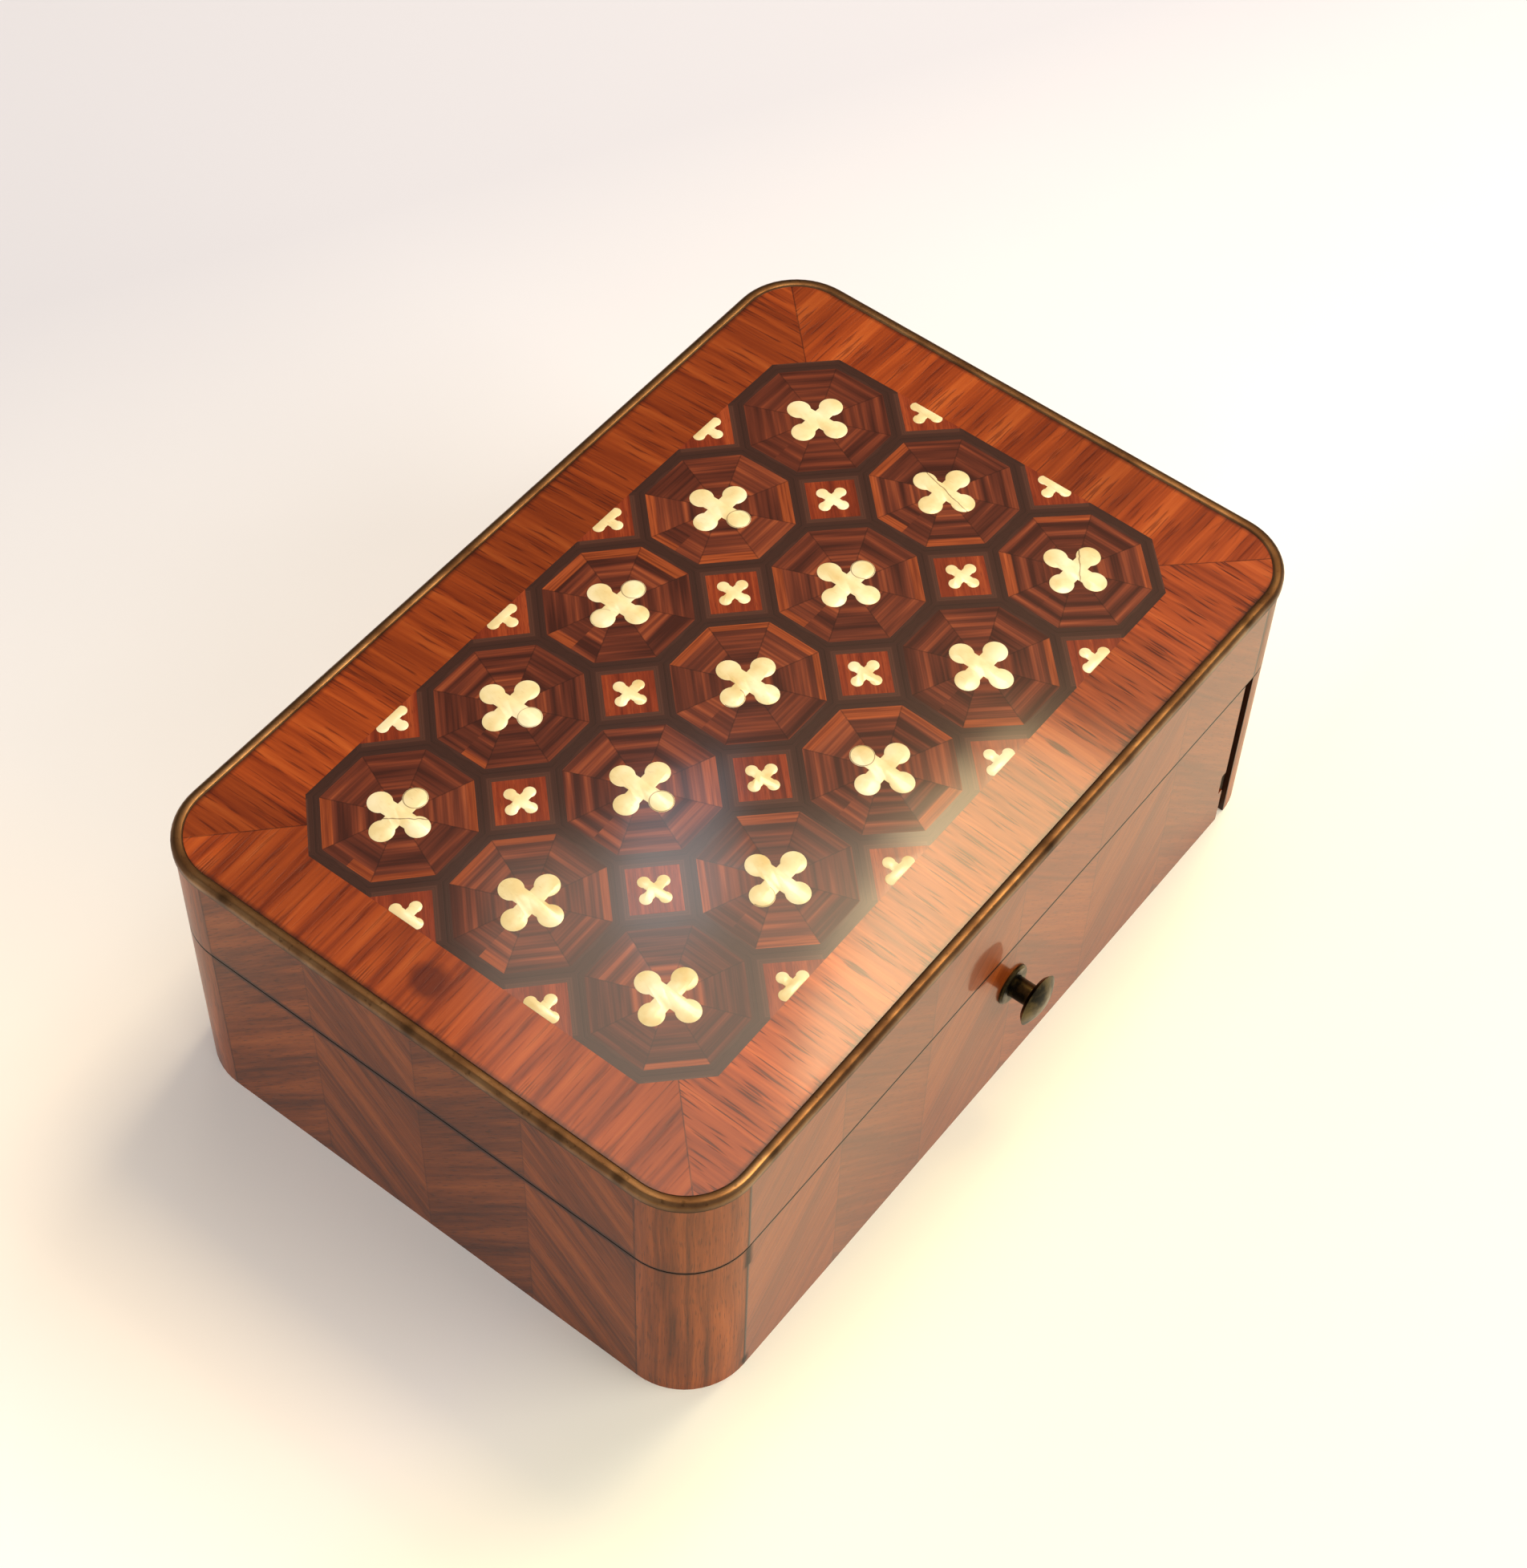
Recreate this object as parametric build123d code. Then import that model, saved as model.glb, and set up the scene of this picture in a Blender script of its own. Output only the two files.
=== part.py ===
from build123d import *
import math
import os

# A small rectangular box with rounded corners and a hinged lid with a crowned, inlaid top.
# The long side runs along X, the front with its push button faces -Y and +Z is up.
# The origin is the middle of the underside. All sizes are in millimetres.

# Case
LENGTH = 122.0  # over the side veneers, along X
WIDTH = 82.4  # over the side veneers, along Y
CORNER_RADIUS = 9.0  # of the upright corners, at the veneer's face
SEAM_HEIGHT = 28.6  # top of the base's rim
SEAM_GAP = 0.2  # between the base's rim and the lid's rim
RIM_HEIGHT = 44.0  # crowned top at its outer edge
CROWN_RISE = 2.1  # middle of the crowned top above its edge
VENEER = 0.8  # thickness of every veneer
BOARD = 5.0  # thickness of the side boards under the veneer
BOTTOM_BOARD = 3.0
LID_TOP_BOARD = 3.8  # thickness of the lid's top board at its outer edge

# Side veneers: leaves between the corner joints
LONG_SIDE_LEAVES = 6
SHORT_SIDE_LEAVES = 4
OPEN_JOINT = 1.8  # width of the open joint at the right end of the base's front veneer
OPEN_JOINT_STEP = 0.9  # how far that joint widens over its stepped stretch
STEP_LOW = 6.6
STEP_HIGH = 10.4

# Edge bead
BEAD_WIDTH = 1.5
BEAD_PROUD = 0.25  # beyond the side veneers
BEAD_HEIGHT = 1.35
BEAD_LIFT = 0.25  # above the edge of the crowned top
BEAD_BEVEL = 0.5

# Inlaid field: octagons with small squares between them
PITCH = 20.0  # from octagon to octagon
COLUMNS = 5
ROWS = 3
BANDING = 2.0  # width of the dark lines between the octagons
EDGE_BANDING = 1.6  # width of the dark line along the edge of the field
LARGE_LOBE = 1.56  # radius of a lobe of the large quatrefoils
LARGE_REACH = 2.92  # from the quatrefoil's middle to the middle of a lobe
LARGE_ARM = 2.2  # width of the cross that joins the lobes
SMALL_LOBE = 0.8
SMALL_REACH = 1.6
SMALL_ARM = 1.3
LARGE_LOBE_SIDES = 8  # repeated small round shapes are many-sided, which keeps them light
SMALL_LOBE_SIDES = 6

# Butt hinges, let into the back of both rims
HINGE_SPACING = 62.0  # between the two hinges' middles
HINGE_LENGTH = 16.0
LEAF_THICKNESS = 0.8
LEAF_DEPTH = 5.0
KNUCKLE_RADIUS = 1.5
KNUCKLE_GAP = 0.2  # between neighbouring knuckles
BACK_CLEARANCE = 0.2  # between the knuckles and the back of the box
PIN_RADIUS = 0.75
PIN_OVERHANG = 0.3
PIN_CLEARANCE = 0.05
HINGE_SCREW_SPACING = 10.0
KNUCKLE_SIDES = 16

# Screws
SCREW_HEAD = 1.25  # radius
SCREW_HEAD_HEIGHT = 0.6
SCREW_LAND = 0.05  # upright edge of the head above its countersink
SCREW_SHANK = 0.6  # radius
SCREW_LENGTH = 5.0
SCREW_CLEARANCE = 0.04
SCREW_SIDES = 12

# Push button
BUTTON_HEIGHT = 20.0  # above the underside
HEAD_RADIUS = 3.5
HEAD_BACK = 3.4  # back of the head, out from the veneer
HEAD_FRONT = 4.9  # crown of the head, out from the veneer
HEAD_LIP = 0.5
STEM_RADIUS = 1.45
STEM_CLEARANCE = 0.08
COLLAR_RADIUS = 2.8
COLLAR_THICKNESS = 0.5
FLANGE_RADIUS = 2.2
FLANGE_THICKNESS = 0.8
FLANGE_POCKET = 2.6  # depth of its pocket, from the inside of the front board
FLANGE_CLEARANCE = 0.2
STEM_BEVEL = 0.9  # at the stem's inner end
SEAT_GAP = 0.15  # between the stem's end and the catch

# Catch spring: a strip screwed to the inside of the front board, which bends above its foot
CATCH_WIDTH = 7.0
CATCH_THICKNESS = 0.5
CATCH_BOTTOM = 5.0
FLEX_HEIGHT = 9.5  # where the strip bends
FLEX_GAP = 0.15
CATCH_TOP = 26.6
CATCH_SCREW_LENGTH = 3.5
TOOTH_BOTTOM = 24.0
TOOTH_HEIGHT = 1.6
TOOTH_REACH = 1.0
TOOTH_LAND = 0.3
TOOTH_WIDTH = 3.0

# Keeper: a plate in the lid's front rim with a tongue that hangs down behind the front board
KEEPER_LENGTH = 14.0
KEEPER_DEPTH = 4.6
KEEPER_THICKNESS = 0.8
TONGUE_WIDTH = 7.0
TONGUE_THICKNESS = 0.6
TONGUE_BOTTOM = 23.0
TONGUE_TO_TOOTH = 0.2
TONGUE_TO_BOARD = 0.6
TONGUE_SIDE_ROOM = 1.0
TONGUE_END_ROOM = 0.4
KEEPER_HOLE_ROOM = 0.5

# Places worked out from the sizes above
HALF_X = LENGTH / 2
HALF_Y = WIDTH / 2
STRAIGHT_X = HALF_X - CORNER_RADIUS
STRAIGHT_Y = HALF_Y - CORNER_RADIUS
SKIN = VENEER + BOARD
INNER_X = HALF_X - SKIN
INNER_Y = HALF_Y - SKIN
LID_BOTTOM = SEAM_HEIGHT + SEAM_GAP
LID_CEILING = RIM_HEIGHT - VENEER - LID_TOP_BOARD  # underside of the lid's top board
BEAD_TOP = RIM_HEIGHT + BEAD_LIFT
WALL_TOP = BEAD_TOP - BEAD_HEIGHT  # top of the lid's side veneers, where the edge bead sits
AXIS_Y = HALF_Y + BACK_CLEARANCE + KNUCKLE_RADIUS
AXIS_Z = SEAM_HEIGHT + SEAM_GAP / 2
BEAD_INSET = BEAD_WIDTH - BEAD_PROUD
BORDER_APOTHEM = (PITCH - BANDING) / 2 + EDGE_BANDING
FIELD_X = PITCH * (COLUMNS - 1) / 2 + BORDER_APOTHEM
FIELD_Y = PITCH * (ROWS - 1) / 2 + BORDER_APOTHEM
ABOVE_ALL = RIM_HEIGHT + 2 * CROWN_RISE

os.makedirs("parts", exist_ok=True)


def save(node, *shapes):
    """Write the solids of one or more shapes as one node."""
    solids = [solid for shape in shapes for solid in shape.solids()]
    export_step(Compound(solids), "parts/" + node + ".step")


def block(low, high):
    """A rectangular solid between two opposite corners."""
    size = [high[i] - low[i] for i in range(3)]
    middle = [(high[i] + low[i]) / 2 for i in range(3)]
    return Pos(*middle) * Box(*size)


def outline_prism(inset, low, high):
    """The box's rounded outline, drawn in by inset, as a prism between two heights."""
    outline = RectangleRounded(LENGTH - 2 * inset, WIDTH - 2 * inset, CORNER_RADIUS - inset)
    return extrude(Pos(0, 0, low) * outline, amount=high - low)


def four_corners(shape):
    """A shape made at the back right corner, with its mirror images at the other three."""
    pair = [shape, mirror(shape, Plane.YZ)]
    return pair + [mirror(copy, Plane.XZ) for copy in pair]


def front_back(low, high, front):
    """A stretch of the front or back wall, given by depths in from the veneer's face."""
    near = block((low[0], -HALF_Y + low[1], low[2]), (high[0], -HALF_Y + high[1], high[2]))
    return near if front else mirror(near, Plane.XZ)


def left_right(low, high, left):
    """A stretch of the left or right wall, given by depths in from the veneer's face."""
    near = block((-HALF_X + low[0], low[1], low[2]), (-HALF_X + high[0], high[1], high[2]))
    return near if left else mirror(near, Plane.YZ)


def wall_boards(low, high):
    """The four side boards of a tray between two heights."""
    return {
        "front": front_back((-STRAIGHT_X, VENEER, low), (STRAIGHT_X, SKIN, high), True),
        "back": front_back((-STRAIGHT_X, VENEER, low), (STRAIGHT_X, SKIN, high), False),
        "left": left_right((VENEER, -STRAIGHT_Y, low), (SKIN, STRAIGHT_Y, high), True),
        "right": left_right((VENEER, -STRAIGHT_Y, low), (SKIN, STRAIGHT_Y, high), False),
    }


def corner_region(low, high):
    return block((STRAIGHT_X, STRAIGHT_Y, low), (LENGTH, WIDTH, high))


def corner_blocks(low, high):
    """The solid corners between the boards: rounded outside, with a flat across the inside."""
    solid = outline_prism(VENEER, low, high) & corner_region(low, high)
    inside = Polygon(
        (STRAIGHT_X, STRAIGHT_Y), (INNER_X, STRAIGHT_Y), (STRAIGHT_X, INNER_Y), align=None
    )
    return four_corners(solid - extrude(Pos(0, 0, low) * inside, amount=high - low))


def corner_veneers(low, high):
    ring = outline_prism(0, low, high) - outline_prism(VENEER, low, high)
    return four_corners(ring & corner_region(low, high))


def long_leaves(low, high, front):
    """The veneer leaves of the front or back, side by side between the corner joints."""
    step = 2 * STRAIGHT_X / LONG_SIDE_LEAVES
    starts = [-STRAIGHT_X + step * i for i in range(LONG_SIDE_LEAVES)]
    return [front_back((x, 0, low), (x + step, VENEER, high), front) for x in starts]


def short_leaves(low, high, left):
    """The veneer leaves of a short side."""
    step = 2 * STRAIGHT_Y / SHORT_SIDE_LEAVES
    starts = [-STRAIGHT_Y + step * i for i in range(SHORT_SIDE_LEAVES)]
    return [left_right((0, y, low), (VENEER, y + step, high), left) for y in starts]


def over_seam(shape):
    """The mirror image of a shape in the level plane through the hinge axis."""
    return mirror(shape, Plane.XY.offset(AXIS_Z))


def hinge_places():
    return [-HINGE_SPACING / 2, HINGE_SPACING / 2]


def hinge_bar(radius, low, high):
    """A many-sided bar along the hinge axis between two places along X."""
    profile = Plane((low, AXIS_Y, AXIS_Z), z_dir=(1, 0, 0)) * RegularPolygon(radius, KNUCKLE_SIDES)
    return extrude(profile, amount=high - low)


def knuckles(middle, spans):
    """Hinge knuckles with the strips that join them to their leaf, below the seam."""
    shapes = []
    for low, high in spans:
        barrel = hinge_bar(KNUCKLE_RADIUS, middle + low, middle + high)
        strip = block(
            (middle + low, HALF_Y, SEAM_HEIGHT - LEAF_THICKNESS),
            (middle + high, AXIS_Y, SEAM_HEIGHT),
        )
        shapes.append(barrel + strip)
    return shapes


def hinge_leaf(middle, spans):
    """A hinge's lower leaf with its knuckles, bored for the pin and the screws."""
    leaf = hinge_mortise(middle)
    for knuckle in knuckles(middle, spans):
        leaf += knuckle
    leaf -= hinge_bar(PIN_RADIUS + PIN_CLEARANCE, middle - HINGE_LENGTH, middle + HINGE_LENGTH)
    for place in hinge_screw_places(middle):
        leaf -= Pos(*place) * screw(SCREW_LENGTH, SCREW_CLEARANCE)
    return leaf


def hinge_mortise(middle):
    """The space that a lower hinge leaf fills in the base's rim."""
    return block(
        (middle - HINGE_LENGTH / 2, HALF_Y - LEAF_DEPTH, SEAM_HEIGHT - LEAF_THICKNESS),
        (middle + HINGE_LENGTH / 2, HALF_Y, SEAM_HEIGHT),
    )


def hinge_screw_places(middle):
    y = HALF_Y - (VENEER + LEAF_DEPTH) / 2
    return [(middle + side * HINGE_SCREW_SPACING / 2, y, SEAM_HEIGHT) for side in (-1, 1)]


def screw(length, room=0.0):
    """A countersunk screw pointing down from z = 0, or the hole for it when room is given."""
    head = extrude(RegularPolygon(SCREW_HEAD + room, SCREW_SIDES), amount=-SCREW_HEAD_HEIGHT)
    head = chamfer(head.edges().group_by(Axis.Z)[0], SCREW_HEAD_HEIGHT - SCREW_LAND)
    return head + extrude(RegularPolygon(SCREW_SHANK + room, SCREW_SIDES), amount=-length - room)


def on_button_axis(shape):
    """Place a shape made about Z from the veneer's face, with +Z pointing out of the front."""
    return Pos(0, -HALF_Y, BUTTON_HEIGHT) * Rot(90, 0, 0) * shape


def disc(radius, low, high):
    """A cylinder about Z between two heights."""
    return Pos(0, 0, (low + high) / 2) * Cylinder(radius, high - low)


def crown_layer(drop, depth):
    """A slab that follows the crowned top, lying drop below it and depth thick."""
    edge = RIM_HEIGHT - drop
    middle = edge + 4 * CROWN_RISE
    heights = [[edge, edge, edge], [edge, middle, edge], [edge, edge, edge]]
    xs = [-HALF_X, 0, HALF_X]
    ys = [-HALF_Y, 0, HALF_Y]
    grid = [[(xs[i], ys[j], heights[i][j]) for j in range(3)] for i in range(3)]
    return extrude(Face.make_bezier_surface(grid), amount=depth, dir=(0, 0, -1))


TOP_VENEER = crown_layer(0, VENEER)


def inlay(sketch):
    """The part of the top veneer inside a flat outline."""
    return extrude(Pos(0, 0, LID_CEILING) * sketch, amount=ABOVE_ALL - LID_CEILING) & TOP_VENEER


def inlays(sketches, places, limit=None):
    """A mirror-symmetric set of outlines inlaid at each place, made once for each quarter."""
    made = {}
    shapes = []
    for x, y in places:
        key = (abs(x), abs(y))
        if key not in made:
            placed = [Pos(*key) * sketch for sketch in sketches]
            made[key] = [inlay(sketch & limit if limit else sketch) for sketch in placed]
        for shape in made[key]:
            shape = mirror(shape, Plane.YZ) if x < 0 else shape
            shapes.append(mirror(shape, Plane.XZ) if y < 0 else shape)
    return shapes


def octagon_corners(apothem):
    radius = apothem / math.cos(math.pi / 8)
    angles = [math.pi / 8 + math.pi / 4 * k for k in range(8)]
    return [(radius * math.cos(angle), radius * math.sin(angle)) for angle in angles]


def octagon(apothem):
    return Polygon(*octagon_corners(apothem), align=None)


def octagon_places():
    xs = [PITCH * (i - (COLUMNS - 1) / 2) for i in range(COLUMNS)]
    ys = [PITCH * (j - (ROWS - 1) / 2) for j in range(ROWS)]
    return [(x, y) for x in xs for y in ys]


def square_places():
    """Middles of the small squares: those inside the field, and those cut in half by its edge."""
    inside = []
    border = []
    for i in range(COLUMNS + 1):
        for j in range(ROWS + 1):
            place = (PITCH * (i - COLUMNS / 2), PITCH * (j - ROWS / 2))
            at_end = i in (0, COLUMNS)
            at_side = j in (0, ROWS)
            if not at_end and not at_side:
                inside.append(place)
            elif at_end != at_side:
                border.append(place)
    return inside, border


def corner_cut(apothem):
    """How much of the corner of its square an octagon leaves out, along a side."""
    return apothem * (1 - math.tan(math.pi / 8))


def quatrefoil(lobe, reach, arm, sides):
    """Four round lobes joined by a cross."""
    shape = Rectangle(2 * reach, arm) + Rectangle(arm, 2 * reach)
    for x, y in ((reach, 0), (0, reach), (-reach, 0), (0, -reach)):
        shape += Pos(x, y) * RegularPolygon(lobe, sides, rotation=180 / sides)
    return shape


# Base
bottom_board = outline_prism(VENEER, 0, BOTTOM_BOARD)
base_boards = wall_boards(BOTTOM_BOARD, SEAM_HEIGHT)
hinge_cuts = [hinge_mortise(x) for x in hinge_places()]
screw_holes = [
    Pos(*place) * screw(SCREW_LENGTH, SCREW_CLEARANCE)
    for x in hinge_places()
    for place in hinge_screw_places(x)
]
base_back_leaves = long_leaves(0, SEAM_HEIGHT, False)
base_boards["back"] -= hinge_cuts + screw_holes
base_back_leaves = [leaf - hinge_cuts for leaf in base_back_leaves]

# Front board: a bore and flange pocket for the button, a slot for the lid's tongue, screw holes
tooth_face = -HALF_Y + SKIN - TOOTH_REACH
tongue_back = tooth_face - TONGUE_TO_TOOTH
tongue_front = tongue_back - TONGUE_THICKNESS
button_bore = on_button_axis(disc(STEM_RADIUS + STEM_CLEARANCE, -LENGTH / 4, COLLAR_THICKNESS))
flange_pocket = on_button_axis(
    disc(FLANGE_RADIUS + FLANGE_CLEARANCE, -SKIN, -SKIN + FLANGE_POCKET)
)
tongue_slot = block(
    (
        -TONGUE_WIDTH / 2 - TONGUE_SIDE_ROOM,
        tongue_front - TONGUE_TO_BOARD,
        TONGUE_BOTTOM - TONGUE_END_ROOM,
    ),
    (TONGUE_WIDTH / 2 + TONGUE_SIDE_ROOM, -HALF_Y + SKIN, SEAM_HEIGHT),
)
catch_screw_height = (CATCH_BOTTOM + FLEX_HEIGHT) / 2
catch_screw_places = [
    (side * CATCH_WIDTH / 4, -INNER_Y + CATCH_THICKNESS, catch_screw_height) for side in (-1, 1)
]
catch_holes = [
    Pos(*place) * Rot(-90, 0, 0) * screw(CATCH_SCREW_LENGTH, SCREW_CLEARANCE)
    for place in catch_screw_places
]
base_boards["front"] -= [button_bore, flange_pocket, tongue_slot] + catch_holes
base_front_leaves = [leaf - button_bore for leaf in long_leaves(0, SEAM_HEIGHT, True)]
open_joint = front_back((STRAIGHT_X - OPEN_JOINT, 0, 0), (STRAIGHT_X, VENEER, SEAM_HEIGHT), True)
open_step = front_back(
    (STRAIGHT_X - OPEN_JOINT - OPEN_JOINT_STEP, 0, STEP_LOW), (STRAIGHT_X, VENEER, STEP_HIGH), True
)
base_front_leaves = [leaf - [open_joint, open_step] for leaf in base_front_leaves]

save("bottom_board", bottom_board)
for side, board in base_boards.items():
    save("base_" + side + "_board", board)
save("base_corner_blocks", *corner_blocks(BOTTOM_BOARD, SEAM_HEIGHT))
save("base_front_veneer", *base_front_leaves)
save("base_back_veneer", *base_back_leaves)
save("base_left_veneer", *short_leaves(0, SEAM_HEIGHT, True))
save("base_right_veneer", *short_leaves(0, SEAM_HEIGHT, False))
save("base_corner_veneers", *corner_veneers(0, SEAM_HEIGHT))

# Hinges: two knuckles on the base's leaf, one between them on the lid's
third = HINGE_LENGTH / 3
base_spans = [
    (-HINGE_LENGTH / 2, -third / 2 - KNUCKLE_GAP / 2),
    (third / 2 + KNUCKLE_GAP / 2, HINGE_LENGTH / 2),
]
lid_spans = [(-third / 2 + KNUCKLE_GAP / 2, third / 2 - KNUCKLE_GAP / 2)]
hinge_screws = [
    Pos(*place) * screw(SCREW_LENGTH) for x in hinge_places() for place in hinge_screw_places(x)
]
pin_reach = HINGE_LENGTH / 2 + PIN_OVERHANG
hinge_pins = [hinge_bar(PIN_RADIUS, x - pin_reach, x + pin_reach) for x in hinge_places()]
save("base_hinge_leaves", *[hinge_leaf(x, base_spans) for x in hinge_places()])
save("lid_hinge_leaves", *[over_seam(hinge_leaf(x, lid_spans)) for x in hinge_places()])
save("base_hinge_screws", *hinge_screws)
save("lid_hinge_screws", *[over_seam(shape) for shape in hinge_screws])
save("hinge_pins", *hinge_pins)

# Push button: a collar on the veneer, a mushroom head, and a stem with a flange and round end
collar = disc(COLLAR_RADIUS, 0, COLLAR_THICKNESS)
collar = chamfer(collar.edges().group_by(Axis.Z)[-1], COLLAR_THICKNESS / 2)
save("button_collar", on_button_axis(collar) - button_bore)

lip = (HEAD_RADIUS, HEAD_BACK + HEAD_LIP)
head_outline = Polyline((0, HEAD_FRONT), (0, HEAD_BACK), (HEAD_RADIUS - HEAD_LIP, HEAD_BACK), lip)
head_outline += TangentArc((0, HEAD_FRONT), lip, tangent=(1, 0))
head = revolve(Plane.XZ * make_face(head_outline), axis=Axis.Z)
save("button_head", on_button_axis(head))

stem_end = SKIN - SEAT_GAP
flange_back = SKIN - FLANGE_POCKET
stem = disc(STEM_RADIUS, -stem_end, HEAD_BACK)
stem = chamfer(stem.edges().group_by(Axis.Z)[0], STEM_BEVEL)
stem += disc(FLANGE_RADIUS, -flange_back - FLANGE_THICKNESS, -flange_back)
save("button_stem", on_button_axis(stem))

# Catch spring: its foot stays with the front board, its blade carries the tooth
foot = block(
    (-CATCH_WIDTH / 2, -INNER_Y, CATCH_BOTTOM),
    (CATCH_WIDTH / 2, -INNER_Y + CATCH_THICKNESS, FLEX_HEIGHT - FLEX_GAP),
)
save("catch_foot", foot - catch_holes)
catch_screws = [
    Pos(*place) * Rot(-90, 0, 0) * screw(CATCH_SCREW_LENGTH) for place in catch_screw_places
]
save("catch_screws", *catch_screws)
blade = block(
    (-CATCH_WIDTH / 2, -INNER_Y, FLEX_HEIGHT),
    (CATCH_WIDTH / 2, -INNER_Y + CATCH_THICKNESS, CATCH_TOP),
)
tooth_outline = Polygon(
    (-INNER_Y, TOOTH_BOTTOM),
    (tooth_face, TOOTH_BOTTOM),
    (tooth_face, TOOTH_BOTTOM + TOOTH_LAND),
    (-INNER_Y, TOOTH_BOTTOM + TOOTH_HEIGHT),
    align=None,
)
blade += extrude(Plane.YZ * tooth_outline, amount=TOOTH_WIDTH / 2, both=True)
save("catch_blade", blade)

# Keeper
keeper_front = tongue_back - KEEPER_DEPTH / 2
keeper_plate = block(
    (-KEEPER_LENGTH / 2, keeper_front, LID_BOTTOM),
    (KEEPER_LENGTH / 2, keeper_front + KEEPER_DEPTH, LID_BOTTOM + KEEPER_THICKNESS),
)
keeper_plate = keeper_plate & block((-LENGTH, -HALF_Y + VENEER, 0), (LENGTH, -INNER_Y, ABOVE_ALL))
keeper_mortise = keeper_plate
tongue = block(
    (-TONGUE_WIDTH / 2, tongue_front, TONGUE_BOTTOM),
    (TONGUE_WIDTH / 2, tongue_back, LID_BOTTOM + KEEPER_THICKNESS / 2),
)
tongue -= block(
    (-TOOTH_WIDTH / 2 - KEEPER_HOLE_ROOM, tongue_front, TOOTH_BOTTOM - TONGUE_TO_TOOTH),
    (
        TOOTH_WIDTH / 2 + KEEPER_HOLE_ROOM,
        tongue_back,
        TOOTH_BOTTOM + TOOTH_HEIGHT + KEEPER_HOLE_ROOM,
    ),
)
keeper_screw_x = (TONGUE_WIDTH + KEEPER_LENGTH) / 4
keeper_screw_places = [(side * keeper_screw_x, tongue_front, LID_BOTTOM) for side in (-1, 1)]
keeper_holes = [
    Pos(*place) * Rot(180, 0, 0) * screw(SCREW_LENGTH, SCREW_CLEARANCE)
    for place in keeper_screw_places
]
keeper_screws = [
    Pos(*place) * Rot(180, 0, 0) * screw(SCREW_LENGTH) for place in keeper_screw_places
]
save("keeper", keeper_plate + tongue - keeper_holes)
save("keeper_screws", *keeper_screws)

# Lid carcass
lid_boards = wall_boards(LID_BOTTOM, LID_CEILING)
lid_hinge_cuts = [over_seam(shape) for shape in hinge_cuts]
lid_boards["back"] -= lid_hinge_cuts + [over_seam(shape) for shape in screw_holes]
lid_boards["front"] -= [keeper_mortise] + keeper_holes
top_board = outline_prism(VENEER, LID_CEILING, WALL_TOP)
top_board += outline_prism(BEAD_INSET, LID_CEILING, ABOVE_ALL) & crown_layer(
    VENEER, ABOVE_ALL - LID_CEILING
) & outline_prism(0, WALL_TOP, ABOVE_ALL)
for side, board in lid_boards.items():
    save("lid_" + side + "_board", board)
save("lid_top_board", top_board)
save("lid_corner_blocks", *corner_blocks(LID_BOTTOM, LID_CEILING))
lid_back_leaves = [leaf - lid_hinge_cuts for leaf in long_leaves(LID_BOTTOM, WALL_TOP, False)]
save("lid_front_veneer", *long_leaves(LID_BOTTOM, WALL_TOP, True))
save("lid_back_veneer", *lid_back_leaves)
save("lid_left_veneer", *short_leaves(LID_BOTTOM, WALL_TOP, True))
save("lid_right_veneer", *short_leaves(LID_BOTTOM, WALL_TOP, False))
save("lid_corner_veneers", *corner_veneers(LID_BOTTOM, WALL_TOP))

# Edge bead round the top
bead = outline_prism(-BEAD_PROUD, WALL_TOP, BEAD_TOP)
bead = chamfer(bead.edges().group_by(Axis.Z)[-1], BEAD_BEVEL)
save("edge_bead", bead - outline_prism(BEAD_INSET, 0, ABOVE_ALL))

# Top veneer: field of octagons
large = quatrefoil(LARGE_LOBE, LARGE_REACH, LARGE_ARM, LARGE_LOBE_SIDES)
small = quatrefoil(SMALL_LOBE, SMALL_REACH, SMALL_ARM, SMALL_LOBE_SIDES)
outer_octagon = octagon((PITCH + BANDING) / 2)
inner_octagon = octagon((PITCH - BANDING) / 2)
corners = octagon_corners((PITCH - BANDING) / 2)
field_rectangle = Rectangle(2 * FIELD_X, 2 * FIELD_Y)
field_cut = corner_cut(BORDER_APOTHEM)
field = Rectangle(2 * (FIELD_X - field_cut), 2 * FIELD_Y)
field += Rectangle(2 * FIELD_X, 2 * (FIELD_Y - field_cut))
field += [Pos(x, y) * octagon(BORDER_APOTHEM) for x, y in octagon_places()]
between_octagons = field - [Pos(x, y) * outer_octagon for x, y in octagon_places()]
lattice = field - [Pos(x, y) * inner_octagon for x, y in octagon_places()] - between_octagons
save("banding_lattice", inlay(lattice))

wedges = [
    Polygon((0, 0), corners[k], corners[(k + 1) % 8], align=None) - large for k in range(8)
]
save("octagon_wedges", *inlays(wedges, octagon_places()))
save("large_quatrefoils", *inlays([large], octagon_places()))

square_inside, square_border = square_places()
tile = Rectangle(PITCH, PITCH) - small
save("square_tiles", *inlays([tile], square_inside, between_octagons))
save("small_quatrefoils", *inlays([small], square_inside))
save("border_triangles", *inlays([tile], square_border, between_octagons))
save("border_half_quatrefoils", *inlays([small], square_border, field_rectangle))

# Crossbanding: four lengths round the field, mitred at the corners
border_x = LENGTH - 2 * BEAD_INSET
border_y = WIDTH - 2 * BEAD_INSET
surround = RectangleRounded(border_x, border_y, CORNER_RADIUS - BEAD_INSET) - field
mitre_x = FIELD_X - field_cut / 2
mitre_y = FIELD_Y - field_cut / 2
mitres = {
    "front": Polygon(
        (-HALF_X, -HALF_Y), (HALF_X, -HALF_Y), (mitre_x, -mitre_y), (-mitre_x, -mitre_y), align=None
    ),
    "right": Polygon(
        (HALF_X, -HALF_Y), (HALF_X, HALF_Y), (mitre_x, mitre_y), (mitre_x, -mitre_y), align=None
    ),
}
mitres["back"] = mirror(mitres["front"], Plane.XZ)
mitres["left"] = mirror(mitres["right"], Plane.YZ)
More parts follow.
